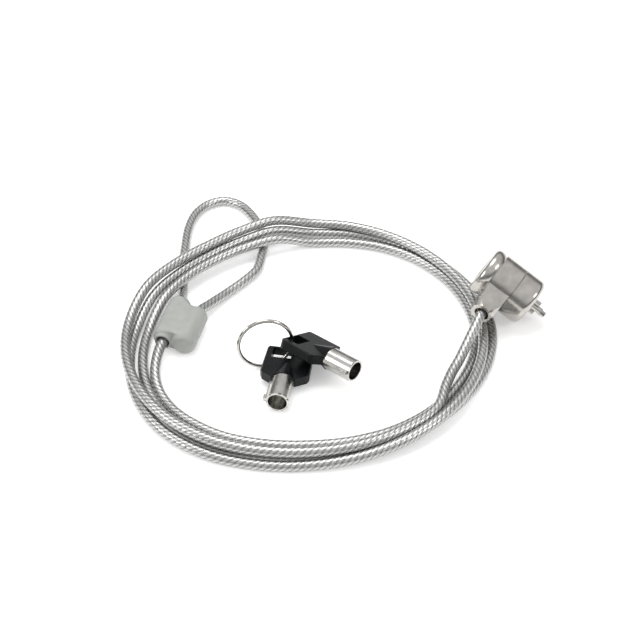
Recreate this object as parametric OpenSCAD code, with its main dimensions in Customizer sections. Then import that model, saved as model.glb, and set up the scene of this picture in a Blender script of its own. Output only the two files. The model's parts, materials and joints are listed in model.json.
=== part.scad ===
// Laptop cable lock: T-bar lock head, coiled steel cable with an end loop, two tubular keys on a ring.
// Millimetres, +Z up, everything stands on the plane z = 0.

/* [Lock head] */
// Outer diameter of the head
head_d = 18; // [14:0.5:24]
// Length of the head from the key face to the nose face
head_len = 21.3; // [18:0.1:30]
// Length of the front cap
cap_len = 4.2; // [3:0.1:8]
// Length of the swivel collar
collar_len = 8.45; // [6:0.05:14]
// Diameter of the keyway in the cap
keyway_d = 8.6; // [8:0.1:10]
// Outer diameter of the core housing
housing_d = 13.4; // [12:0.1:16]
// Rounding of the nose edge
nose_r = 2; // [0.5:0.1:4]
// Downward tilt of the nose
head_pitch = 25; // [0:1:45]
// Heading of the nose on the table
head_yaw = -29; // [-180:1:180]
// Roll of the cable lug below the horizontal
lug_roll = 6; // [0:1:30]
// Distance from the head axis to the lug mouth
lug_reach = 17.3; // [14:0.1:24]
// Diameter of the lug at its mouth
lug_d = 7.4; // [6:0.1:9]
// Bore of the lug
lug_bore = 5.3; // [4.5:0.1:6.5]

/* [T-bar] */
// Length of the T-head, across the spindle
tee_len = 6.6; // [5:0.1:7]
// Width of the T-head
tee_w = 2.7; // [2:0.1:3]
// Thickness of the T-head
tee_t = 1.6; // [1:0.1:3]
// Gap between the nose face and the T-head
tee_gap = 4.2; // [1:0.1:6]
// Turn of the T-head as it lies
tee_turn = 45; // [0:5:90]

/* [Tubular lock] */
// Number of pins
pin_count = 7; // [5:1:8]
// Radius of the pin circle
pin_circle_r = 3.55; // [3:0.05:4]
// Diameter of a pin
pin_d = 1; // [0.8:0.1:1.4]

/* [Cable] */
// Outer diameter of the cable
cable_d = 3.6; // [2:0.1:6]
// Depth of the gap the coil leaves over the end loop
loop_gap = 3.7; // [2:0.1:6]
// Width of one barrel of the loop sleeve
sleeve_d = 8.4; // [6:0.1:12]
// Length of the longer barrel of the loop sleeve
sleeve_len = 20; // [14:0.5:30]
// Distance between the two barrels of the loop sleeve
sleeve_pitch = 7.4; // [5:0.1:10]

/* [Keys] */
// Outer diameter of a key tube
tube_d = 7.8; // [7:0.1:9]
// Bore of a key tube
tube_bore = 6.4; // [6:0.1:7]
// Length of tube in front of the bow
tube_len = 10.4; // [8:0.2:20]
// Width of a bow
bow_w = 16.8; // [12:0.1:24]
// Thickness of a bow
bow_t = 3.4; // [3:0.1:6]
// Distance from the tube rim to the end of the bow
key_len = 26.9; // [24:0.1:40]
// Mean diameter of the key ring
ring_d = 18.5; // [12:0.1:30]
// Wire diameter of the key ring
wire_d = 1.3; // [1:0.1:2.5]

/* [Hidden] */
$fn = 64;

// Where the pieces lie on the plane
nose_pos = [48.8, 14.4, 7.8];
coil_pos = [-29.4, 7.7, 0];
key_a_rim = [-40.3, -30.9, 4.9];
key_a_turn = [0, 4.2, 81.1];
key_b_rim = [-14.7, -20.3, 8.8];
key_b_turn = [24.7, 3.1, 140];
ring_pos = [-44.8, -8.2, 9.83];
ring_turn = [82.3, 0, 11.5];

// Stations along the head axis, from the key face
head_r = head_d / 2;
housing_r = housing_d / 2;
housing_start = 1.8;
housing_end = head_len - 2.8;
collar_start = cap_len + 0.1;
collar_end = collar_start + collar_len;
collar_mid = head_len - 12.65;
rear_start = collar_end + 0.3;
rotor_start = 8;
rotor_end = 12;
block_start = 12.05;
block_end = 16;
core_bore_r = 5.75;
core_part_r = 5.7;
clip_start = 16.2;
clip_end = 17;
washer_start = 17.1;
washer_end = 18.4;
spindle_r = 1.5;
neck_r = 1.25;
tee_start = head_len + tee_gap;
guard_pin_r = 0.9;
guard_pin_offset = 2.5;
guard_pin_end = head_len + 2.5;
pin_r = pin_d / 2;
pin_hole_r = pin_r + 0.05;
key_pin_len = 4.6;
block_bore_end = 15.2;
driver_end = 13.6;

// Lug and cable end, measured from the head axis
lug_bore_start = 8.1;
ferrule_r = 2.58;
ferrule_start = 8.4;
ferrule_end = 13;
groove_start = 10.2;
groove_end = 11.4;
groove_r = 1.9;
lug_pin_r = 0.5;
lug_pin_offset = groove_r + lug_pin_r + 0.05;

// Directions of the head axis and of the lug on the table
head_axis = [
    cos(head_pitch) * cos(head_yaw),
    cos(head_pitch) * sin(head_yaw),
    -sin(head_pitch)
];
head_side = [-sin(head_yaw), cos(head_yaw), 0];
lug_dir = -cos(lug_roll) * head_side - sin(lug_roll) * cross(head_axis, head_side);
collar_pos = nose_pos - (head_len - collar_mid) * head_axis;

// Cable strand: distance from the coil centre and height, every eighth of a turn.
// The first entry lies at the right of the coil, the next ones follow clockwise.
station = 45;
strand = [
    [57.6, 6.8], [58.1, 4.9], [60.1, 5.0], [65.1, 5.4], [64.3, 5.3], [55.7, 4.9], [58.2, 4.9], [58.3, 5.0],
    [60.0, 4.9], [62.0, 5.3], [62.8, 1.8], [67.7, 1.8], [62.0, 1.8], [53.9, 1.8], [55.9, 1.8], [60.2, 1.8],
    [64.0, 1.8], [60.0, 1.8], [58.3, 1.8], [63.4, 1.8], [57.4, 1.8], [50.0, 1.8], [49.9, 1.8], [56.3, 1.8],
    [58.2, 1.8], [56.0, 1.8], [54.6, 1.8], [59.5, 1.8], [57.5, 1.8]
];
coil_step = 5;
lead_joins = 45;
tail_leaves = 3 * 360 + 145;
cable_r = cable_d / 2;

// Sleeve of the end loop
sleeve_r = sleeve_d / 2;
sleeve_pos = [-51.3, -8.3, 4.5];
sleeve_heading = -12.7;
sleeve_axis = [-sin(sleeve_heading), cos(sleeve_heading), 0];
sleeve_across = [cos(sleeve_heading), sin(sleeve_heading), 0];
second_start = -1.9;
second_end = 16.2;
crimp_r = 3.1;
crimp_start = 4;
crimp_end = 13;
sleeve_mid = 8.5;

// Points of the uncoiled stretches, measured from the coil centre
lead_points = [
    [57, -6.9, 10.4], [53.3, -14, 8], [50, -20.5, 6.4], [47.4, -25.2, 5.7], [44.9, -31.1, 5.3], [41.2, -41, 4.9]
];
tail_points = [
    [-42.1, -42.1, 1.8], [-47.5, -36, 1.8], [-50.7, -30.5, 2.2], [-52.5, -24.5, 3],
    [-52.8, -18.5, 3.8], [-52.3, -13, 4.3]
];
loop_points = [
    [-47.2, 16.5, 2.8], [-47.5, 21.5, 1.8], [-48.8, 36, 1.8], [-49, 48.5, 1.8], [-48.7, 59.5, 1.8], [-46.3, 69.5, 1.8],
    [-41.5, 75.5, 1.8], [-35.5, 77.5, 1.8], [-29.5, 74.8, 1.8], [-24, 67.5, 1.8], [-20.6, 59.5, 1.8],
    [-18.7, 51.5, 1.8], [-19.5, 40.5, 1.8], [-20.7, 33.5, 1.8], [-25, 27, 1.8], [-31, 20, 1.8],
    [-36.3, 12.8, 3]
];

// Key stations, measured back from the tube rim
cut_depths = [0.3, 0.6, 0.4, 0.7, 0.35, 0.6, 0.45];
socket_depth = 8;
tang_end = 19;
tang_w = 6.4;
tang_t = 1.8;
shoulder = 13.2;
slot_start = 20.7;
slot_end = 25.9;
slot_side = -0.8;
slot_w = 6.8;
bow_pin_r = 0.75;
boss_r = tube_d / 2 + 0.25;

// ---------- helpers ----------

function mix4(p, t) =
    0.5 * ((2 * p[1]) + (p[2] - p[0]) * t + (2 * p[0] - 5 * p[1] + 4 * p[2] - p[3]) * t * t
        + (3 * p[1] - p[0] - 3 * p[2] + p[3]) * t * t * t);

function strand_at(angle) =
    let (
        last = len(strand) - 1,
        i = min(floor(angle / station), last - 1),
        t = angle / station - i
    )
    mix4([strand[max(i - 1, 0)], strand[i], strand[i + 1], strand[min(i + 2, last)]], t);

function ease(from, to, x) =
    let (t = min(max((x - from) / (to - from), 0), 1))
    t * t * (3 - 2 * t);

// Height of the gap over the two legs of the end loop, by angle clockwise from the right
function lift(angle) = loop_gap * ease(182, 199, angle) * (1 - ease(255, 272, angle));

// All strands of the coil that pass the given angle of the ring
function strands_at(angle) = [
    for (turn = [0:3])
        let (a = angle + 360 * turn)
        if (a >= lead_joins && a <= tail_leaves)
            strand_at(a)
];

// Outline of the coil at one angle: a low wide band and the strands that lie on top
function coil_outline(angle) =
    let (
        all = strands_at(angle),
        high = [for (p = all) if (p[1] > max([for (q = all) q[1]]) - 1.2) p],
        inner = min([for (p = all) p[0]]) - cable_r,
        outer = max([for (p = all) p[0]]) + cable_r,
        top_inner = max(min([for (p = high) p[0]]) - cable_r, inner),
        top_outer = min(max([for (p = high) p[0]]) + cable_r, outer),
        top = max([for (p = all) p[1]]) + cable_r,
        base = lift(angle)
    )
    [
        [inner, base], [inner, base + cable_d], [top_inner, base + top],
        [top_outer, base + top], [outer, base + cable_d], [outer, base]
    ];

function unit(v) = v / norm(v);

function tangent(points, i) =
    unit(points[min(i + 1, len(points) - 1)] - points[max(i - 1, 0)]);

function tube_ring(centre, along, r, sides) =
    let (
        side = unit(cross(along, [0, 0, 1])),
        up = cross(side, along)
    )
    [for (k = [0:sides - 1]) centre + r * (cos(360 * k / sides) * side + sin(360 * k / sides) * up)];

function side_faces(rings, sides, closed) = [
    for (i = [0:rings - (closed ? 1 : 2)], k = [0:sides - 1])
        let (
            a = i * sides,
            b = ((i + 1) % rings) * sides,
            n = (k + 1) % sides
        )
        each [[a + k, a + n, b + n], [a + k, b + n, b + k]]
];

// Round tube swept along a list of points
module cord(points, d, sides = 8) {
    rings = len(points);
    corners = [for (i = [0:rings - 1]) each tube_ring(points[i], tangent(points, i), d / 2, sides)];
    start_cap = [for (k = [0:sides - 1]) sides - 1 - k];
    end_cap = [for (k = [0:sides - 1]) (rings - 1) * sides + k];
    polyhedron(corners, concat([start_cap], side_faces(rings, sides, false), [end_cap]), convexity = 6);
}

function on_table(points) = [for (p = points) p + coil_pos];

function sleeve_point(along, across = 0) =
    coil_pos + sleeve_pos + along * sleeve_axis + across * sleeve_across;

module head_frame() {
    translate(nose_pos)
        rotate([0, 90 + head_pitch, head_yaw])
            translate([0, 0, -head_len])
                children();
}

// Origin on the head axis in the middle of the collar, +Z out of the lug mouth
module lug_frame() {
    translate([0, 0, collar_mid])
        rotate([90, 0, lug_roll])
            children();
}

module ring_of_pins(start, length, r) {
    for (i = [0:pin_count - 1])
        rotate([0, 0, 360 * i / pin_count])
            translate([pin_circle_r, 0, start])
                cylinder(h = length, r = r);
}

module tube(start, end, outer, inner) {
    translate([0, 0, start])
        difference() {
            cylinder(h = end - start, r = outer);
            translate([0, 0, -1])
                cylinder(h = end - start + 2, r = inner);
        }
}

// ---------- lock head ----------

module front_cap() {
    // The rim bulges, rounder at the front than towards the collar
    bead_low = head_r - 1.6;
    bead_mid = 2;
    bead = [
        for (a = [-90:12:42])
            [bead_low + (head_r - bead_low) * cos(a), bead_mid + (a < 0 ? bead_mid : 2.9) * sin(a)]
    ];
    inner = [
        [housing_r, cap_len - 0.26], [housing_r, housing_start], [keyway_d / 2, housing_start],
        [keyway_d / 2, 0.9], [5.6, 0.35], [6.4, 0]
    ];
    color("silver")
        head_frame()
            difference() {
                rotate_extrude($fn = 96)
                    polygon(concat(inner, bead));
                // Notch for the nib of the key
                translate([-0.9, 3.6, -1])
                    cube([1.8, 1.8, 2.7]);
            }
}

module lug_blank() {
    // Narrows along the head axis, narrows across it, and turns round at the mouth
    intersection() {
        rotate([0, 90, 0])
            translate([0, 0, -12])
                linear_extrude(24)
                    polygon([
                        [0, -collar_len / 2], [-7.5, -collar_len / 2], [-lug_reach, -lug_d / 2],
                        [-lug_reach, lug_d / 2], [-7.5, collar_len / 2], [0, collar_len / 2]
                    ]);
        rotate([90, 0, 0])
            translate([0, 0, -12])
                linear_extrude(24)
                    polygon([
                        [-5, 0], [-5, 4.5], [-lug_d / 2, lug_reach],
                        [lug_d / 2, lug_reach], [5, 4.5], [5, 0]
                    ]);
        cylinder(h = lug_reach, r1 = 11, r2 = lug_d / 2 + 0.25);
    }
}

module swivel_collar() {
    color("silver")
        head_frame()
            difference() {
                union() {
                    translate([0, 0, collar_start])
                        cylinder(h = collar_len, r = head_r, $fn = 96);
                    translate([0, 0, collar_start + collar_len / 2 - collar_mid])
                        lug_frame()
                            lug_blank();
                }
                translate([0, 0, collar_start - 1])
                    cylinder(h = collar_len + 2, r = housing_r + 0.05, $fn = 96);
                lug_frame()
                    translate([0, 0, lug_bore_start])
                        cylinder(h = lug_reach, r = lug_bore / 2);
                lug_pin_body();
            }
}

module lug_pin_body() {
    lug_frame()
        translate([lug_pin_offset, 3.2, (groove_start + groove_end) / 2])
            rotate([90, 0, 0])
                cylinder(h = 6.4, r = lug_pin_r);
}

module lug_pin() {
    color("gray")
        head_frame()
            lug_pin_body();
}

module cable_end() {
    color("gray")
        head_frame()
            lug_frame()
                rotate_extrude()
                    polygon([
                        [0, ferrule_start], [ferrule_r, ferrule_start], [ferrule_r, groove_start],
                        [groove_r, groove_start], [groove_r, groove_end], [ferrule_r, groove_end],
                        [ferrule_r, ferrule_end], [0, ferrule_end]
                    ]);
}

module rear_body() {
    color("silver")
        head_frame()
            difference() {
                union() {
                    translate([0, 0, rear_start])
                        cylinder(h = head_len - nose_r - rear_start, r = head_r, $fn = 96);
                    translate([0, 0, head_len - nose_r])
                        nose();
                }
                translate([0, 0, rear_start - 1])
                    cylinder(h = housing_end - rear_start + 1, r = housing_r, $fn = 96);
                cylinder(h = head_len + 1, r = neck_r + 0.1);
                guard_pins(housing_end - 1, head_len + 1);
            }
}

module nose() {
    rotate_extrude($fn = 96) {
        square([head_r - nose_r, nose_r]);
        translate([head_r - nose_r, 0])
            intersection() {
                circle(r = nose_r, $fn = 48);
                square(nose_r);
            }
    }
}

module guard_pins(start, end) {
    for (side = [-1, 1])
        translate([side * guard_pin_offset, 0, start])
            cylinder(h = end - start, r = guard_pin_r);
}

module anti_rotation_pins() {
    color("gray")
        head_frame()
            guard_pins(housing_end + 0.1, guard_pin_end);
}

module core_housing() {
    color("darkkhaki")
        head_frame()
            difference() {
                translate([0, 0, housing_start])
                    cylinder(h = housing_end - housing_start, r = housing_r, $fn = 96);
                translate([0, 0, housing_start - 1])
                    cylinder(h = rotor_start, r = keyway_d / 2);
                translate([0, 0, rotor_start])
                    cylinder(h = housing_end, r = core_bore_r);
                block_pin_body();
            }
}

module rotor() {
    color("darkkhaki")
        head_frame()
            difference() {
                union() {
                    translate([0, 0, rotor_start])
                        cylinder(h = rotor_end - rotor_start, r = core_part_r);
                    translate([0, 0, 1])
                        cylinder(h = rotor_start, r = 2.9);
                }
                ring_of_pins(rotor_start - 1, 6, pin_hole_r);
                translate([0, 0, rotor_end - 2])
                    cylinder(h = 3, r = spindle_r);
            }
}

module key_pins() {
    color("gold")
        head_frame()
            ring_of_pins(rotor_end - key_pin_len, key_pin_len, pin_r);
}

module driver_block() {
    color("darkkhaki")
        head_frame()
            difference() {
                translate([0, 0, block_start])
                    cylinder(h = block_end - block_start, r = core_part_r);
                ring_of_pins(block_start - 1, block_bore_end - block_start + 1, pin_hole_r);
                cylinder(h = head_len, r = spindle_r + 0.1);
                block_pin_body();
            }
}

module driver_pins() {
    color("silver")
        head_frame()
            ring_of_pins(block_start, driver_end - block_start, pin_r);
}

// Each spring is drawn as three closed wire turns, one against the next
module pin_springs() {
    wire = 0.13;
    turns = 3;
    pitch = (block_bore_end - driver_end - 2 * wire) / (turns - 1);
    color("lightgray")
        head_frame()
            for (i = [0:pin_count - 1], k = [0:turns - 1])
                rotate([0, 0, 360 * i / pin_count])
                    translate([pin_circle_r, 0, driver_end + wire + k * pitch])
                        rotate_extrude($fn = 24)
                            translate([pin_r - wire - 0.04, 0])
                                circle(r = wire, $fn = 16);
}

module block_pin_body() {
    translate([0, 0, 14.4])
        rotate([0, 90, 90])
            translate([0, 0, 4.4])
                cylinder(h = housing_r - 4.45, r = 0.6);
}

module driver_block_pin() {
    color("gray")
        head_frame()
            block_pin_body();
}

module t_bar() {
    color("silver")
        head_frame() {
            translate([0, 0, rotor_end - 2])
                cylinder(h = housing_end - rotor_end + 1.8, r = spindle_r);
            translate([0, 0, housing_end - 0.2])
                cylinder(h = tee_start - housing_end + 0.4, r = neck_r);
            rotate([0, 0, tee_turn])
                tee_head();
        }
}

module tee_head() {
    intersection() {
        translate([-tee_len / 2, -tee_w / 2, tee_start])
            cube([tee_len, tee_w, tee_t]);
        translate([0, 0, tee_start])
            cylinder(h = tee_t, r1 = tee_len / 2, r2 = tee_len / 2 - 0.3);
    }
}

module retaining_clip() {
    color("gray")
        head_frame()
            difference() {
                tube(clip_start, clip_end, 3.6, spindle_r);
                translate([0, -0.8, clip_start - 1])
                    cube([5, 1.6, 3]);
            }
}

module wave_washer() {
    color("gray")
        head_frame()
            rotate_extrude()
                polygon([
                    [3.2, washer_end - 0.3], [5.2, washer_start], [5.4, washer_start + 0.3], [3.4, washer_end]
                ]);
}

// ---------- cable ----------

module cable_coil() {
    rings = 360 / coil_step;
    corners = [
        for (i = [0:rings - 1])
            let (a = i * coil_step)
            for (p = coil_outline(a))
                coil_pos + [p[0] * cos(a), -p[0] * sin(a), p[1]]
    ];
    color("lightslategray")
        polyhedron(corners, side_faces(rings, 6, true), convexity = 10);
}

module cable_lead() {
    start = collar_pos + ferrule_end * lug_dir;
    mouth = collar_pos + (lug_reach + 0.5) * lug_dir;
    color("lightslategray")
        cord(concat([start, mouth], on_table(lead_points)), cable_d);
}

module cable_tail() {
    color("lightslategray")
        cord(concat(on_table(tail_points), [sleeve_point(0), sleeve_point(sleeve_mid)]), cable_d);
}

module cable_loop() {
    way = concat(
        [sleeve_point(sleeve_mid), sleeve_point(sleeve_len)],
        on_table(loop_points),
        [sleeve_point(second_end, sleeve_pitch), sleeve_point(crimp_start, sleeve_pitch)]
    );
    color("lightslategray")
        cord(way, cable_d);
}

module sleeve_frame() {
    translate(coil_pos + sleeve_pos)
        rotate([0, 0, sleeve_heading])
            rotate([-90, 0, 0])
                children();
}

// One barrel along +Z, closed round at both ends
module barrel(start, end, round) {
    translate([0, 0, start])
        rotate_extrude()
            polygon([
                [0, 0], [sleeve_r - round, 0], [sleeve_r - 0.3 * round, 0.3 * round], [sleeve_r, round],
                [sleeve_r, end - start - round], [sleeve_r - 0.3 * round, end - start - 0.3 * round],
                [sleeve_r - round, end - start], [0, end - start]
            ]);
}

// Flat part between the barrels, as thick as they are
module sleeve_web() {
    rotate([90, 0, 0])
        translate([0, 0, -sleeve_r + 0.15])
            linear_extrude(sleeve_d - 0.3)
                polygon([
                    [0, 1], [0, sleeve_len - 1], [sleeve_pitch, second_end - 1.4], [sleeve_pitch, second_start + 1.4]
                ]);
}

module sleeve_body() {
    difference() {
        union() {
            barrel(0, sleeve_len, 1.2);
            translate([sleeve_pitch, 0, 0])
                barrel(second_start, second_end, 1.6);
            sleeve_web();
            tube(-1.2, 0.5, 3.1, 2.3);
        }
        translate([0, 0, -3])
            cylinder(h = sleeve_len + 6, r = cable_r + 0.25);
        translate([sleeve_pitch, 0, crimp_start])
            cylinder(h = second_end, r = cable_r + 0.25);
        translate([0, 0, crimp_start])
            cylinder(h = crimp_end - crimp_start, r = crimp_r);
        translate([sleeve_pitch, 0, crimp_start])
            cylinder(h = crimp_end - crimp_start, r = crimp_r);
        translate([0, -1.6, crimp_start])
            cube([sleeve_pitch, 3.2, crimp_end - crimp_start]);
        translate([0, 0, -3])
            cylinder(h = 3.6, r = 2.3);
    }
}

module loop_sleeve_upper() {
    color("gainsboro")
        sleeve_frame()
            difference() {
                sleeve_body();
                translate([-10, 0, -10])
                    cube([40, 20, 50]);
            }
}

module loop_sleeve_lower() {
    color("gainsboro")
        sleeve_frame()
            difference() {
                sleeve_body();
                translate([-10, -20, -10])
                    cube([40, 20, 50]);
            }
}

module crimp_ferrule() {
    height = crimp_end - crimp_start;
    color("silver")
        sleeve_frame()
            translate([0, 0, crimp_start])
                difference() {
                    union() {
                        cylinder(h = height, r = crimp_r);
                        translate([sleeve_pitch, 0, 0])
                            cylinder(h = height, r = crimp_r);
                        translate([0, -1.6, 0])
                            cube([sleeve_pitch, 3.2, height]);
                    }
                    for (x = [0, sleeve_pitch])
                        translate([x, 0, -1])
                            cylinder(h = height + 2, r = cable_r);
                }
}

// ---------- keys ----------

module key_a_frame() {
    translate(key_a_rim)
        rotate(key_a_turn)
            children();
}

module key_b_frame() {
    translate(key_b_rim)
        rotate(key_b_turn)
            children();
}

module key_tube() {
    difference() {
        union() {
            rotate([0, 90, 0])
                cylinder(h = tube_len, r = tube_d / 2);
            translate([tube_len - 0.5, -tang_w / 2, -tang_t / 2])
                cube([tang_end - tube_len + 0.5, tang_w, tang_t]);
            // Nib that runs through the notch of the keyway, and the rail behind it
            translate([0.6, tube_d / 2 - 0.4, -0.7])
                cube([2, 1.4, 1.4]);
            translate([2.4, tube_d / 2 - 0.4, -0.6])
                cube([tube_len - 2.4, 0.75, 1.2]);
        }
        translate([-1, 0, 0])
            rotate([0, 90, 0])
                cylinder(h = socket_depth + 1, r = tube_bore / 2);
        for (i = [0:pin_count - 1])
            rotate([90 + 360 * (i + 0.5) / pin_count, 0, 0])
                translate([-1, 0, tube_d / 2 + 0.1])
                    rotate([0, 90, 0])
                        cylinder(h = 1 + cut_depths[i], r = 0.5);
        bow_pin_body();
    }
}

module bow_pin_body() {
    translate([16, 0, -bow_t / 2])
        cylinder(h = bow_t - 0.8, r = bow_pin_r);
}

module bow_plate() {
    half = bow_w / 2;
    thick = bow_t / 2;
    edge = 0.5;
    intersection() {
        translate([0, 0, -5])
            linear_extrude(10)
                polygon([
                    [tube_len, -4.2], [shoulder - 0.7, -half + 0.8], [shoulder + 0.5, -half],
                    [key_len - 1.6, -half + 0.4], [key_len - 0.5, -half + 0.9], [key_len, -half + 2],
                    [key_len, half - 2], [key_len - 0.5, half - 0.9], [key_len - 1.6, half - 0.4],
                    [shoulder + 0.5, half], [shoulder - 0.7, half - 0.8], [tube_len, 4.2]
                ]);
        rotate([90, 0, 0])
            translate([0, 0, -10])
                linear_extrude(20)
                    polygon([
                        [tube_len, -thick], [key_len - edge, -thick], [key_len, -thick + edge],
                        [key_len, thick - edge], [key_len - edge, thick], [tube_len, thick]
                    ]);
        rotate([90, 0, 90])
            linear_extrude(40)
                polygon([
                    [-half + edge, -thick], [half - edge, -thick], [half, -thick + edge], [half, thick - edge],
                    [half - edge, thick], [-half + edge, thick], [-half, thick - edge], [-half, -thick + edge]
                ]);
    }
}

module key_bow() {
    difference() {
        union() {
            bow_plate();
            // Boss that takes the tube and runs out into the plate
            translate([tube_len, 0, 0])
                rotate([0, 90, 0])
                    cylinder(h = 8, r1 = boss_r, r2 = bow_t / 2);
        }
        translate([tube_len - 1, -tang_w / 2, -tang_t / 2])
            cube([tang_end - tube_len + 1, tang_w, tang_t]);
        translate([slot_start, slot_side, -5])
            cube([slot_end - slot_start, slot_w, 10]);
        bow_pin_body();
    }
}

module key_a_tube() {
    color("silver")
        key_a_frame()
            key_tube();
}

module key_a_bow() {
    color("dimgray")
        key_a_frame()
            key_bow();
}

module key_a_pin() {
    color("gray")
        key_a_frame()
            bow_pin_body();
}

module key_b_tube() {
    color("silver")
        key_b_frame()
            key_tube();
}

module key_b_bow() {
    color("dimgray")
        key_b_frame()
            key_bow();
}

module key_b_pin() {
    color("gray")
        key_b_frame()
            bow_pin_body();
}

module key_ring() {
    color("silver")
        translate(ring_pos)
            rotate(ring_turn)
                rotate_extrude($fn = 96)
                    translate([ring_d / 2, 0])
                        circle(r = wire_d / 2, $fn = 32);
}

// ---------- nodes ----------

front_cap();
swivel_collar();
rear_body();
core_housing();
anti_rotation_pins();
rotor();
key_pins();
driver_block();
driver_pins();
pin_springs();
t_bar();
retaining_clip();
driver_block_pin();
wave_washer();
lug_pin();
cable_end();
cable_coil();
cable_lead();
cable_tail();
cable_loop();
loop_sleeve_upper();
loop_sleeve_lower();
crimp_ferrule();
key_a_tube();
key_a_bow();
key_a_pin();
key_b_tube();
key_b_bow();
key_b_pin();
key_ring();
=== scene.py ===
"""A laptop cable lock: the rope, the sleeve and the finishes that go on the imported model.

Metres, in the model's own frame.
"""

import json
import math

import bpy
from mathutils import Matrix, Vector


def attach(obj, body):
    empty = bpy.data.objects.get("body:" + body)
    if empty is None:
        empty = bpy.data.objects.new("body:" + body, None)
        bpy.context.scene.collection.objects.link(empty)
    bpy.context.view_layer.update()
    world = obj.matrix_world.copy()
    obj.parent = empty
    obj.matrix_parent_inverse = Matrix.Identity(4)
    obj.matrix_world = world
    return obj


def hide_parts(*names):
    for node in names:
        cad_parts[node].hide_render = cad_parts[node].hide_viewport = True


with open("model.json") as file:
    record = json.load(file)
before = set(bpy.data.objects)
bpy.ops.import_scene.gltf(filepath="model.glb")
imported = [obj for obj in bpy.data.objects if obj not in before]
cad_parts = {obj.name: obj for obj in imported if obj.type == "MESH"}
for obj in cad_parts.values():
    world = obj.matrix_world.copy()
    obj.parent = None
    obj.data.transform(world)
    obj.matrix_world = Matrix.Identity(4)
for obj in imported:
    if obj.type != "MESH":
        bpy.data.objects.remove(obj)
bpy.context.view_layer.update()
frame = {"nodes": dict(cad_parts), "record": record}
NODES = frame["nodes"]
UP = Vector((0, 0, 1))

# ---------- camera ----------

CAMERA_AIM = Vector((-0.0263, 0.0148, 0))
CAMERA_DISTANCE = 0.397
CAMERA_RISE = math.radians(42)
LENS_MM = 61.9
SENSOR_MM = 36
CLIP_START = 0.01


def add_camera():
    """A camera that looks along +Y and down at the coil."""
    data = bpy.data.cameras.new("camera")
    data.lens = LENS_MM
    data.sensor_width = SENSOR_MM
    data.clip_start = CLIP_START
    camera = bpy.data.objects.new("camera", data)
    back = Vector((0, -math.cos(CAMERA_RISE), math.sin(CAMERA_RISE)))
    camera.location = CAMERA_AIM + CAMERA_DISTANCE * back
    camera.rotation_euler = (math.pi / 2 - CAMERA_RISE, 0, 0)
    bpy.context.collection.objects.link(camera)
    bpy.context.scene.camera = camera


# ---------- the cable's route, as the CAD cable lies ----------

CABLE_D = 0.0036
COIL_POS = Vector((-0.0294, 0.0077, 0))
COLLAR_POS = Vector((0.03877, 0.01996, 0.01315))
LUG_DIR = Vector((-0.5208, -0.8484, -0.0947))
CABLE_START = 0.013
LUG_MOUTH = 0.0178

# The coiled strand's distance from the coil's centre and its height, every eighth of a turn,
# clockwise from the right
STATION = 45
STRAND = [
    (0.0576, 0.0068), (0.0581, 0.0049), (0.0601, 0.0050), (0.0651, 0.0054), (0.0643, 0.0053),
    (0.0557, 0.0049), (0.0582, 0.0049), (0.0583, 0.0050), (0.0600, 0.0049), (0.0620, 0.0053),
    (0.0628, 0.0018), (0.0677, 0.0018), (0.0620, 0.0018), (0.0539, 0.0018), (0.0559, 0.0018),
    (0.0602, 0.0018), (0.0640, 0.0018), (0.0600, 0.0018), (0.0583, 0.0018), (0.0634, 0.0018),
    (0.0574, 0.0018), (0.0500, 0.0018), (0.0499, 0.0018), (0.0563, 0.0018), (0.0582, 0.0018),
    (0.0560, 0.0018), (0.0546, 0.0018), (0.0595, 0.0018), (0.0575, 0.0018),
]
# How far the coil stands up over the end loop, and the degrees of a turn where it rises and falls
LOOP_GAP = 0.0037
RISE_ANGLES = (182, 199)
FALL_ANGLES = (255, 272)
# The cable follows the strand between these degrees, with a point at every step
COIL_STEP = 15
COIL_FROM = 60
COIL_TO = 3 * 360 + 120

# Uncoiled stretches, from the coil's centre
LEAD = [
    (0.0570, -0.0069, 0.0104), (0.0533, -0.0140, 0.0080), (0.0500, -0.0205, 0.0064),
    (0.0474, -0.0252, 0.0057), (0.0449, -0.0311, 0.0053), (0.0412, -0.0410, 0.0049),
]
TAIL = [
    (-0.0421, -0.0421, 0.0018), (-0.0475, -0.0360, 0.0018), (-0.0507, -0.0305, 0.0022),
    (-0.0525, -0.0245, 0.0030), (-0.0528, -0.0185, 0.0038), (-0.0523, -0.0130, 0.0043),
]
LOOP = [
    (-0.0472, 0.0165, 0.0028), (-0.0475, 0.0215, 0.0018), (-0.0488, 0.0360, 0.0018),
    (-0.0490, 0.0485, 0.0018), (-0.0487, 0.0595, 0.0018), (-0.0463, 0.0695, 0.0018),
    (-0.0415, 0.0755, 0.0018), (-0.0355, 0.0775, 0.0018), (-0.0295, 0.0748, 0.0018),
    (-0.0240, 0.0675, 0.0018), (-0.0206, 0.0595, 0.0018), (-0.0187, 0.0515, 0.0018),
    (-0.0195, 0.0405, 0.0018), (-0.0207, 0.0335, 0.0018), (-0.0250, 0.0270, 0.0018),
    (-0.0310, 0.0200, 0.0018), (-0.0363, 0.0128, 0.0030),
]
SLEEVE_POS = Vector((-0.0513, -0.0083, 0.0045))
SLEEVE_ALONG = Vector((0.2198, 0.9755, 0))
SLEEVE_ACROSS = Vector((SLEEVE_ALONG.y, -SLEEVE_ALONG.x, 0))
SLEEVE_LEN = 0.020
SLEEVE_PITCH = 0.0074
SECOND_END = 0.0162
CRIMP_START = 0.004
# Parts of the smooth curve between two points of the route, and a length that counts as none
CURVE_PARTS = 12
TINY = 1e-6


def spline(p0, p1, p2, p3, t):
    """Point at t from p1 to p2 of the smooth curve through all four."""
    return 0.5 * (
        2 * p1 + (p2 - p0) * t + (2 * p0 - 5 * p1 + 4 * p2 - p3) * t ** 2
        + (3 * p1 - p0 - 3 * p2 + p3) * t ** 3
    )


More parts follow.
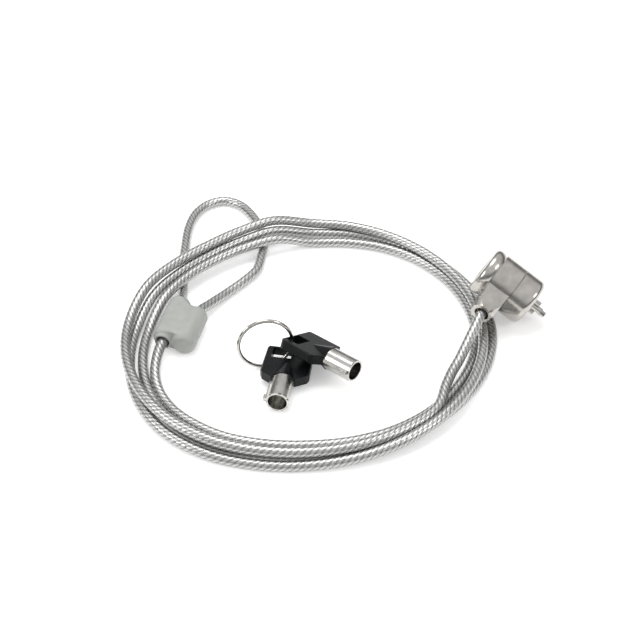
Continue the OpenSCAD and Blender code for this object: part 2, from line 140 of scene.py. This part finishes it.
def neighbours(points, i):
    """Point i, the one after it, and one more on each side where there is one."""
    last = len(points) - 1
    return [points[k] for k in (max(i - 1, 0), i, i + 1, min(i + 2, last))]


def strand_at(angle):
    """(distance from the coil's centre, height) of the strand after this many degrees."""
    i = min(int(angle // STATION), len(STRAND) - 2)
    near = [Vector(pair) for pair in neighbours(STRAND, i)]
    return spline(*near, angle / STATION - i)


def ease(start, end, value):
    """0 before start, 1 after end, and a smooth step between."""
    t = min(max((value - start) / (end - start), 0), 1)
    return t * t * (3 - 2 * t)


def lift(angle):
    """How far the coil stands up over the two legs of the end loop."""
    turn = angle % 360
    return LOOP_GAP * ease(*RISE_ANGLES, turn) * (1 - ease(*FALL_ANGLES, turn))


def coil_point(angle):
    """Point of the coiled strand after this many degrees."""
    distance, height = strand_at(angle)
    turn = math.radians(angle)
    offset = (distance * math.cos(turn), -distance * math.sin(turn), height + lift(angle))
    return COIL_POS + Vector(offset)


def sleeve_point(along, across=0.0):
    """Point in the middle plane of the sleeve."""
    return COIL_POS + SLEEVE_POS + along * SLEEVE_ALONG + across * SLEEVE_ACROSS


def route():
    """The points that the cable passes, from inside the lug to the crimp in the sleeve."""
    points = [COLLAR_POS + CABLE_START * LUG_DIR, COLLAR_POS + LUG_MOUTH * LUG_DIR]
    points += [COIL_POS + Vector(p) for p in LEAD]
    points += [coil_point(angle) for angle in range(COIL_FROM, COIL_TO + 1, COIL_STEP)]
    points += [COIL_POS + Vector(p) for p in TAIL]
    points += [sleeve_point(0), sleeve_point(SLEEVE_LEN)]
    points += [COIL_POS + Vector(p) for p in LOOP]
    points += [sleeve_point(SECOND_END, SLEEVE_PITCH), sleeve_point(CRIMP_START, SLEEVE_PITCH)]
    return points


def centripetal(p, t):
    """Point at t from p[1] to p[2] of a curve that keeps its shape where the points are uneven."""
    before, span, after = [max((b - a).length, TINY) ** 0.5 for a, b in zip(p, p[1:])]
    leave = (p[1] - p[0]) / before - (p[2] - p[0]) / (before + span) + (p[2] - p[1]) / span
    arrive = (p[2] - p[1]) / span - (p[3] - p[1]) / (span + after) + (p[3] - p[2]) / after
    if (p[1] - p[0]).length < TINY:
        leave = (p[2] - p[1]) / span
    if (p[3] - p[2]).length < TINY:
        arrive = (p[2] - p[1]) / span
    a = span * leave
    b = span * arrive
    return (
        p[1] + a * t + (3 * (p[2] - p[1]) - 2 * a - b) * t ** 2
        + (2 * (p[1] - p[2]) + a + b) * t ** 3
    )


def smooth_route(points):
    """Points of one smooth curve through all the given ones, close together."""
    fine = []
    for i in range(len(points) - 1):
        near = neighbours(points, i)
        fine += [centripetal(near, part / CURVE_PARTS) for part in range(CURVE_PARTS)]
    fine.append(points[-1])
    return fine


def evenly(points, step):
    """The same line with its points one step apart, and its length."""
    spaced = [points[0]]
    travelled = 0.0
    target = step
    for a, b in zip(points, points[1:]):
        length = (b - a).length
        while target <= travelled + length:
            spaced.append(a.lerp(b, (target - travelled) / length))
            target += step
        travelled += length
    return spaced, travelled


# ---------- meshes ----------

# Distance between the rope's rings, and points in a ring
ROPE_STEP = 0.00065
ROPE_SIDES = 36
# Strands of the rope, the length in which they wind once round it, and the grooves between them
ROPE_STRANDS = 6
ROPE_LAY = 0.0125
GROOVE_DEPTH = 0.00006
GROOVE_SHAPE = 0.7


def rope_radius(angle, along):
    """Radius of the coated rope: six shallow strands that wind round it."""
    phase = ROPE_STRANDS * (angle / 2 + math.pi * along / ROPE_LAY)
    return CABLE_D / 2 - GROOVE_DEPTH * (1 - abs(math.sin(phase)) ** GROOVE_SHAPE)


def rope_mesh(points):
    """A tube along the points, with the lay of the rope in its UV map."""
    verts = []
    side = LUG_DIR.cross(UP)
    for i, centre in enumerate(points):
        along = (points[min(i + 1, len(points) - 1)] - points[max(i - 1, 0)]).normalized()
        side = (side - side.dot(along) * along).normalized()
        up = along.cross(side)
        for k in range(ROPE_SIDES):
            angle = 2 * math.pi * k / ROPE_SIDES
            radius = rope_radius(angle, i * ROPE_STEP)
            verts.append(centre + radius * (math.cos(angle) * side + math.sin(angle) * up))
    faces = []
    lay = []
    for i in range(len(points) - 1):
        row = i * ROPE_SIDES
        following = row + ROPE_SIDES
        for k in range(ROPE_SIDES):
            n = (k + 1) % ROPE_SIDES
            faces.append((row + k, row + n, following + n, following + k))
            for step, corner in ((0, k), (0, k + 1), (1, k + 1), (1, k)):
                lay.append(((i + step) * ROPE_STEP / ROPE_LAY, corner / ROPE_SIDES))
    # the two end faces
    last = (len(points) - 1) * ROPE_SIDES
    faces.append(tuple(reversed(range(ROPE_SIDES))))
    faces.append(tuple(last + k for k in range(ROPE_SIDES)))
    lay += [(0, 0)] * (2 * ROPE_SIDES)
    mesh = bpy.data.meshes.new("cable_rope")
    mesh.from_pydata(verts, [], faces)
    uv = mesh.uv_layers.new(name="lay")
    uv.data.foreach_set("uv", [value for pair in lay for value in pair])
    return mesh


def add_piece(name, mesh, material, body):
    """A new smooth-shaded piece that rides on a body."""
    piece = bpy.data.objects.new(name, mesh)
    bpy.context.collection.objects.link(piece)
    mesh.materials.append(material)
    mesh.polygons.foreach_set("use_smooth", [True] * len(mesh.polygons))
    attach(piece, body)
    return piece


# ---------- materials ----------

# Most of a noise texture's values lie between these
NOISE_RANGE = (0.3, 0.7)
# Noise scales, in features a metre
METAL_CLOUDS = 260
METAL_POLISH = 900
PLASTIC_CLOUDS = 300
PLASTIC_POLISH = 1200
CABLE_POLISH = 1500
PLASTIC_SPECULAR = 0.2
# The rope's steel, and the clear coat over it
CABLE_GREY = (0.5, 0.5, 0.5)
CABLE_METALLIC = 0.85
CABLE_SMOOTH = 0.2
CABLE_ROUGH = 0.36
COAT_WEIGHT = 0.35
COAT_ROUGHNESS = 0.25
# Ridges of the single wires round the rope and over one lay, and their share beside the strands
WIRES_ROUND = 30
WIRES_ALONG = 14
WIRE_SHARE = 0.3
RIDGE_DEPTH = 0.00005
# Height on the ridges and grey level there, with a little less blue: painted shade darkens the
# grooves and painted highlight brightens the crests
CABLE_SHADE_AND_HIGHLIGHT_TONES = ((0.05, 0.15), (0.45, 0.31), (0.95, 0.42), (1.0, 0.52))
CABLE_BLUE = 0.985


def new_material(name, colour, metallic, roughness):
    """A material and its surface shader."""
    material = bpy.data.materials.new(name)
    material.use_nodes = True
    shader = material.node_tree.nodes["Principled BSDF"]
    shader.inputs["Base Color"].default_value = (*colour, 1)
    shader.inputs["Metallic"].default_value = metallic
    shader.inputs["Roughness"].default_value = roughness
    return material, shader


def add_node(material, kind, **settings):
    """A node with these input values."""
    node = material.node_tree.nodes.new(kind)
    for name, value in settings.items():
        node.inputs[name].default_value = value
    return node


def noise(material, scale, detail=4.0):
    """Noise over the object, features about 1/scale metres long."""
    place = material.node_tree.nodes.new("ShaderNodeTexCoord")
    texture = add_node(material, "ShaderNodeTexNoise", Scale=scale, Detail=detail)
    material.node_tree.links.new(place.outputs["Object"], texture.inputs["Vector"])
    return texture.outputs["Fac"]


def spread(material, value, low, high):
    """Maps the range where most of the noise lies to low to high."""
    node = material.node_tree.nodes.new("ShaderNodeMapRange")
    sockets = ("From Min", "From Max", "To Min", "To Max")
    for name, number in zip(sockets, (*NOISE_RANGE, low, high)):
        node.inputs[name].default_value = number
    material.node_tree.links.new(value, node.inputs["Value"])
    return node.outputs["Result"]


def fill_ramp(node, steps, blue=1.0):
    """Gives a new colour ramp its steps: a position and a grey level each."""
    elements = node.color_ramp.elements
    for position, _ in steps[1:-1]:
        elements.new(position)
    for element, (position, level) in zip(elements, steps):
        element.position = position
        element.color = (level, level, level * blue, 1)


def tint(material, value, low, high):
    """A colour between low and high."""
    node = material.node_tree.nodes.new("ShaderNodeValToRGB")
    node.color_ramp.elements[0].color = (*low, 1)
    node.color_ramp.elements[1].color = (*high, 1)
    material.node_tree.links.new(value, node.inputs["Fac"])
    return node.outputs["Color"]


def bump(material, shader, height, depth):
    """Raises the surface by depth metres where height is 1."""
    node = add_node(material, "ShaderNodeBump", Strength=1.0, Distance=depth)
    material.node_tree.links.new(height, node.inputs["Height"])
    material.node_tree.links.new(node.outputs["Normal"], shader.inputs["Normal"])


def plated_metal(name, dark, light, smooth, rough, grain_size, grain_depth):
    """Plated or turned metal: cloudy tone, uneven polish and a fine grain."""
    material, shader = new_material(name, light, 1.0, rough)
    links = material.node_tree.links
    clouds = spread(material, noise(material, METAL_CLOUDS), 0, 1)
    polish = spread(material, noise(material, METAL_POLISH), smooth, rough)
    links.new(tint(material, clouds, dark, light), shader.inputs["Base Color"])
    links.new(polish, shader.inputs["Roughness"])
    bump(material, shader, noise(material, 1 / grain_size, detail=2.0), grain_depth)
    return material


def cable_steel():
    """Clear-coated wire rope: painted shade darkens the grooves between strands and painted
    highlights brighten the wires across them.
    """
    material, shader = new_material("cable_steel", CABLE_GREY, CABLE_METALLIC, CABLE_ROUGH)
    tree = material.node_tree
    shader.inputs["Coat Weight"].default_value = COAT_WEIGHT
    shader.inputs["Coat Roughness"].default_value = COAT_ROUGHNESS
    place = tree.nodes.new("ShaderNodeUVMap")
    place.uv_map = "lay"
    split = tree.nodes.new("ShaderNodeSeparateXYZ")
    tree.links.new(place.outputs["UV"], split.inputs["Vector"])
    strands = wave(material, split, ROPE_STRANDS, ROPE_STRANDS)
    wires = wave(material, split, WIRES_ROUND, WIRES_ALONG)
    both = tree.nodes.new("ShaderNodeMath")
    both.operation = "MULTIPLY_ADD"
    both.inputs[1].default_value = WIRE_SHARE
    tree.links.new(wires, both.inputs[0])
    tree.links.new(strands, both.inputs[2])
    # painted shade and highlight: the base colour goes dark in the grooves and bright on the ridge
    # crests, while the same ridges also bump the surface
    ramp = tree.nodes.new("ShaderNodeValToRGB")
    fill_ramp(ramp, CABLE_SHADE_AND_HIGHLIGHT_TONES, CABLE_BLUE)
    tree.links.new(both.outputs["Value"], ramp.inputs["Fac"])
    tree.links.new(ramp.outputs["Color"], shader.inputs["Base Color"])
    polish = spread(material, noise(material, CABLE_POLISH), CABLE_SMOOTH, CABLE_ROUGH)
    tree.links.new(polish, shader.inputs["Roughness"])
    bump(material, shader, both.outputs["Value"], RIDGE_DEPTH)
    return material


def wave(material, split, around, along):
    """Rounded ridges: a number of them round the rope, and a number over one lay of it."""
    tree = material.node_tree
    scaled = tree.nodes.new("ShaderNodeMath")
    scaled.operation = "MULTIPLY"
    scaled.inputs[1].default_value = math.pi * along
    turned = tree.nodes.new("ShaderNodeMath")
    turned.operation = "MULTIPLY_ADD"
    turned.inputs[1].default_value = math.pi * around
    sine = tree.nodes.new("ShaderNodeMath")
    sine.operation = "SINE"
    ridge = tree.nodes.new("ShaderNodeMath")
    ridge.operation = "ABSOLUTE"
    tree.links.new(split.outputs["X"], scaled.inputs[0])
    tree.links.new(split.outputs["Y"], turned.inputs[0])
    tree.links.new(scaled.outputs["Value"], turned.inputs[2])
    tree.links.new(turned.outputs["Value"], sine.inputs[0])
    tree.links.new(sine.outputs["Value"], ridge.inputs[0])
    return ridge.outputs["Value"]


def moulded_plastic(name, dark, light, smooth, rough, grain_size, grain_depth):
    """Moulded plastic with a fine texture and a faint change of tone."""
    material, shader = new_material(name, light, 0.0, rough)
    shader.inputs["Specular IOR Level"].default_value = PLASTIC_SPECULAR
    links = material.node_tree.links
    clouds = spread(material, noise(material, PLASTIC_CLOUDS), 0, 1)
    polish = spread(material, noise(material, PLASTIC_POLISH), smooth, rough)
    links.new(tint(material, clouds, dark, light), shader.inputs["Base Color"])
    links.new(polish, shader.inputs["Roughness"])
    bump(material, shader, noise(material, 1 / grain_size, detail=3.0), grain_depth)
    return material


# Each finish: dark and light tone, lowest and highest roughness, size and depth of its grain
METALS = {
    "lock_steel": ((0.44, 0.42, 0.39), (0.56, 0.54, 0.51), 0.16, 0.26, 0.00025, 0.000004),
    "polished_steel": ((0.46, 0.45, 0.42), (0.60, 0.58, 0.55), 0.10, 0.20, 0.0002, 0.000003),
    "inner_brass": ((0.55, 0.42, 0.20), (0.72, 0.57, 0.30), 0.25, 0.40, 0.0003, 0.000005),
    "spring_steel": ((0.32, 0.32, 0.31), (0.46, 0.46, 0.45), 0.20, 0.34, 0.0002, 0.000003),
    "crimp_metal": ((0.38, 0.39, 0.40), (0.52, 0.53, 0.54), 0.30, 0.45, 0.0004, 0.000008),
    "key_tube_nickel": ((0.46, 0.45, 0.43), (0.60, 0.59, 0.56), 0.14, 0.26, 0.00025, 0.000004),
}
PLASTICS = {
    "sleeve_plastic": ((0.35, 0.36, 0.34), (0.40, 0.41, 0.39), 0.42, 0.52, 0.0004, 0.000012),
    "key_bow_plastic": ((0.0035, 0.004, 0.0045), (0.006, 0.007, 0.008), 0.26, 0.38, 0.0003, 0.000008),
}


def all_materials():
    """Every finish, by the name of its slot."""
    made = {name: plated_metal(name, *values) for name, values in METALS.items()}
    made.update({name: moulded_plastic(name, *values) for name, values in PLASTICS.items()})
    made["steel_cable"] = cable_steel()
    return made


def dress_nodes(materials):
    """Gives every CAD node the finish of its slot."""
    for part in frame["record"]["subparts"]:
        node = NODES[part["node"]]
        for slot in node.material_slots:
            slot.material = materials[part["material_slot"]]


# ---------- cable, sleeve ----------


def add_cable(material):
    """The whole cable as one rope."""
    points, length = evenly(smooth_route(route()), ROPE_STEP)
    rope = add_piece("cable_rope", rope_mesh(points), material, "cable")
    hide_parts("cable_coil", "cable_lead", "cable_tail", "cable_loop")
    return rope, points, length


# Size of the remeshed sleeve's cells, and how far and how often they are smoothed
SLEEVE_VOXEL = 0.0003
SMOOTH_FACTOR = 0.5
SMOOTH_PASSES = 12


def add_sleeve(material):
    """The two shells of the sleeve as one smooth moulding."""
    verts = []
    faces = []
    for shell in (NODES["loop_sleeve_upper"], NODES["loop_sleeve_lower"]):
        start = len(verts)
        verts += [v.co.copy() for v in shell.data.vertices]
        faces += [[start + v for v in face.vertices] for face in shell.data.polygons]
    mesh = bpy.data.meshes.new("sleeve_pad")
    mesh.from_pydata(verts, [], faces)
    sleeve = add_piece("sleeve_pad", mesh, material, "cable")
    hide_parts("loop_sleeve_upper", "loop_sleeve_lower")
    remesh = sleeve.modifiers.new("one_body", "REMESH")
    remesh.mode = "VOXEL"
    remesh.voxel_size = SLEEVE_VOXEL
    remesh.use_smooth_shade = True
    smooth = sleeve.modifiers.new("rounded", "SMOOTH")
    smooth.factor = SMOOTH_FACTOR
    smooth.iterations = SMOOTH_PASSES
    return sleeve


# ---------- floor and light ----------

FLOOR_SIZE = 3.0
FLOOR_TONE = (0.93, 0.93, 0.93)
FLOOR_ROUGHNESS = 0.9
FLOOR_GLOW = 0.30
ROOM_STRENGTH = 0.85
# Height of the direction and grey level there: the room is darker towards the horizon
ROOM_TONES = ((0.0, 0.22), (0.3, 0.3), (0.5, 0.9), (1.0, 1.0))
# Place, size in metres and power in watts of each soft box, aimed where the camera looks
SOFT_BOXES = {
    "top": ((-0.10, 0.25, 0.80), 0.5, 3.0),
    "left": ((-0.80, -0.20, 0.45), 0.35, 2.0),
    "right": ((0.70, -0.35, 0.60), 0.30, 1.6),
}


def add_floor():
    """A plain white floor."""
    half = FLOOR_SIZE / 2
    corners = [(-half, -half, 0), (half, -half, 0), (half, half, 0), (-half, half, 0)]
    mesh = bpy.data.meshes.new("floor")
    mesh.from_pydata(corners, [], [(0, 1, 2, 3)])
    floor = bpy.data.objects.new("floor", mesh)
    material, shader = new_material("floor", FLOOR_TONE, 0.0, FLOOR_ROUGHNESS)
    shader.inputs["Specular IOR Level"].default_value = 0.0
    shader.inputs["Emission Color"].default_value = (1, 1, 1, 1)
    shader.inputs["Emission Strength"].default_value = FLOOR_GLOW
    mesh.materials.append(material)
    bpy.context.collection.objects.link(floor)


def add_soft_boxes():
    """The studio's lamps."""
    for name, (place, size, power) in SOFT_BOXES.items():
        data = bpy.data.lights.new(name, "AREA")
        data.size = size
        data.energy = power
        lamp = bpy.data.objects.new(name, data)
        lamp.location = place
        lamp.rotation_euler = (CAMERA_AIM - Vector(place)).to_track_quat("-Z", "Y").to_euler()
        bpy.context.collection.objects.link(lamp)


def add_room():
    """A pale room all round, and plain colour management."""
    world = bpy.data.worlds.new("room")
    world.use_nodes = True
    background = world.node_tree.nodes["Background"]
    background.inputs["Strength"].default_value = ROOM_STRENGTH
    place = world.node_tree.nodes.new("ShaderNodeTexCoord")
    split = world.node_tree.nodes.new("ShaderNodeSeparateXYZ")
    ramp = world.node_tree.nodes.new("ShaderNodeValToRGB")
    fill_ramp(ramp, ROOM_TONES)
    world.node_tree.links.new(place.outputs["Generated"], split.inputs["Vector"])
    world.node_tree.links.new(split.outputs["Z"], ramp.inputs["Fac"])
    world.node_tree.links.new(ramp.outputs["Color"], background.inputs["Color"])
    bpy.context.scene.world = world
    bpy.context.scene.view_settings.view_transform = "Standard"


add_camera()
materials = all_materials()
rope, rope_points, rope_length = add_cable(materials["steel_cable"])
sleeve = add_sleeve(materials["sleeve_plastic"])
dress_nodes(materials)
add_floor()
add_soft_boxes()
add_room()
